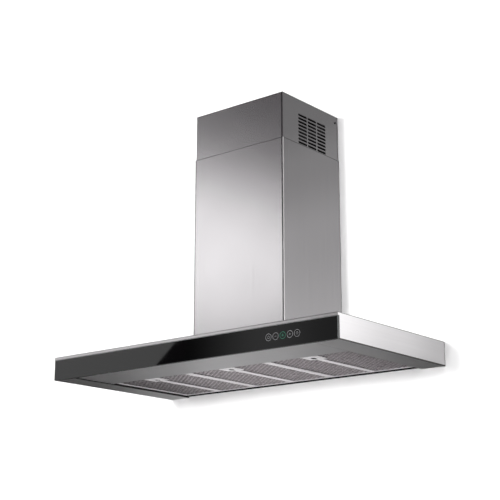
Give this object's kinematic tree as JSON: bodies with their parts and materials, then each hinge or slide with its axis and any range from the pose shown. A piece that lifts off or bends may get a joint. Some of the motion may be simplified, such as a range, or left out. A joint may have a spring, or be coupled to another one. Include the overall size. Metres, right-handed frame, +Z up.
{
  "type": "wall chimney range hood",
  "caption": "Wall-mounted chimney range hood with a slim glass-fronted canopy, swing-down mesh filters, boxed centrifugal blower and telescopic duct cover.",
  "frame": {"origin": "on the wall plane, in the middle of the hood's width, level with the underside of the canopy", "axes": "+X to the right as seen from the front (along the width), +Y into the wall, +Z up"},
  "size_m": [0.9, 0.45, 0.715],
  "materials": {
    "brushed_steel": "brushed stainless steel",
    "black_glass": "black back-painted glass, polished",
    "foam": "soft foam",
    "aluminium": "satin anodised",
    "mesh": "layered expanded mesh",
    "zinc_steel": "zinc plated",
    "black_plastic": "moulded, matt",
    "grey_plastic": "moulded, matt",
    "white_plastic": "moulded, satin",
    "circuit_board": "solder-mask green",
    "motor_steel": "plain steel",
    "spring_steel": "bright"
  },
  "bodies": {
    "hood": {"canopy_shell": "brushed_steel", "front_glass": "black_glass", "glass_tape": "foam", "bottom_panel": "brushed_steel", "filter_rail": "zinc_steel", "control_housing": "black_plastic", "touch_board": "circuit_board", "touch_pads": "foam", "power_box": "white_plastic", "power_board": "circuit_board", "power_cover": "white_plastic", "blower_box": "zinc_steel", "blower_screws": "zinc_steel", "scroll_left": "black_plastic", "scroll_right": "black_plastic", "inlet_guard_left": "zinc_steel", "inlet_guard_right": "zinc_steel", "motor_bracket": "zinc_steel", "motor": "motor_steel", "capacitor": "white_plastic", "capacitor_clip": "zinc_steel", "outlet_collar": "black_plastic", "collar_screws": "zinc_steel", "damper_axle": "spring_steel", "cable_gland": "black_plastic", "lower_chimney": "brushed_steel", "lower_chimney_screws": "zinc_steel"},
    "chimney_top": {"upper_chimney": "brushed_steel", "chimney_bracket": "zinc_steel", "chimney_screws": "spring_steel"},
    "rotor": {"motor_shaft": "motor_steel", "impeller": "grey_plastic", "shaft_clip": "spring_steel"},
    "flap_front": {"damper_front": "grey_plastic"},
    "flap_rear": {"damper_rear": "grey_plastic"},
    "filter_left": {"filter_frame_left": "aluminium", "filter_mesh_left": "mesh", "latch_spring_left": "spring_steel"},
    "latch_left": {"filter_latch_left": "grey_plastic"},
    "filter_centre": {"filter_frame_centre": "aluminium", "filter_mesh_centre": "mesh", "latch_spring_centre": "spring_steel"},
    "latch_centre": {"filter_latch_centre": "grey_plastic"},
    "filter_right": {"filter_frame_right": "aluminium", "filter_mesh_right": "mesh", "latch_spring_right": "spring_steel"},
    "latch_right": {"filter_latch_right": "grey_plastic"}
  },
  "joints": [
    {"name": "chimney_slide", "type": "slide", "parent": "hood", "child": "chimney_top", "axis": [0, 0, 1], "range_m": [-0.1, 0.3]},
    {"name": "impeller_spin", "type": "hinge", "parent": "hood", "child": "rotor", "pos_m": [0, -0.121, 0.174], "axis": [1, 0, 0], "continuous": true},
    {"name": "damper_front_hinge", "type": "hinge", "parent": "hood", "child": "flap_front", "pos_m": [0, -0.08, 0.321], "axis": [-1, 0, 0], "range_deg": [0, 75]},
    {"name": "damper_rear_hinge", "type": "hinge", "parent": "hood", "child": "flap_rear", "pos_m": [0, -0.08, 0.321], "axis": [1, 0, 0], "range_deg": [0, 75]},
    {"name": "filter_left_swing", "type": "hinge", "parent": "hood", "child": "filter_left", "pos_m": [-0.2536, -0.011, 0.0092], "axis": [1, 0, 0], "range_deg": [0, 60]},
    {"name": "latch_left_slide", "type": "slide", "parent": "filter_left", "child": "latch_left", "axis": [0, 1, 0], "range_m": [0, 0.006], "stiffness_N_per_m": 300, "springref_m": -0.004, "deforming": ["latch_spring_left"]},
    {"name": "filter_centre_swing", "type": "hinge", "parent": "hood", "child": "filter_centre", "pos_m": [0, -0.011, 0.0092], "axis": [1, 0, 0], "range_deg": [0, 60]},
    {"name": "latch_centre_slide", "type": "slide", "parent": "filter_centre", "child": "latch_centre", "axis": [0, 1, 0], "range_m": [0, 0.006], "stiffness_N_per_m": 300, "springref_m": -0.004, "deforming": ["latch_spring_centre"]},
    {"name": "filter_right_swing", "type": "hinge", "parent": "hood", "child": "filter_right", "pos_m": [0.2536, -0.011, 0.0092], "axis": [1, 0, 0], "range_deg": [0, 60]},
    {"name": "latch_right_slide", "type": "slide", "parent": "filter_right", "child": "latch_right", "axis": [0, 1, 0], "range_m": [0, 0.006], "stiffness_N_per_m": 300, "springref_m": -0.004, "deforming": ["latch_spring_right"]}
  ]
}
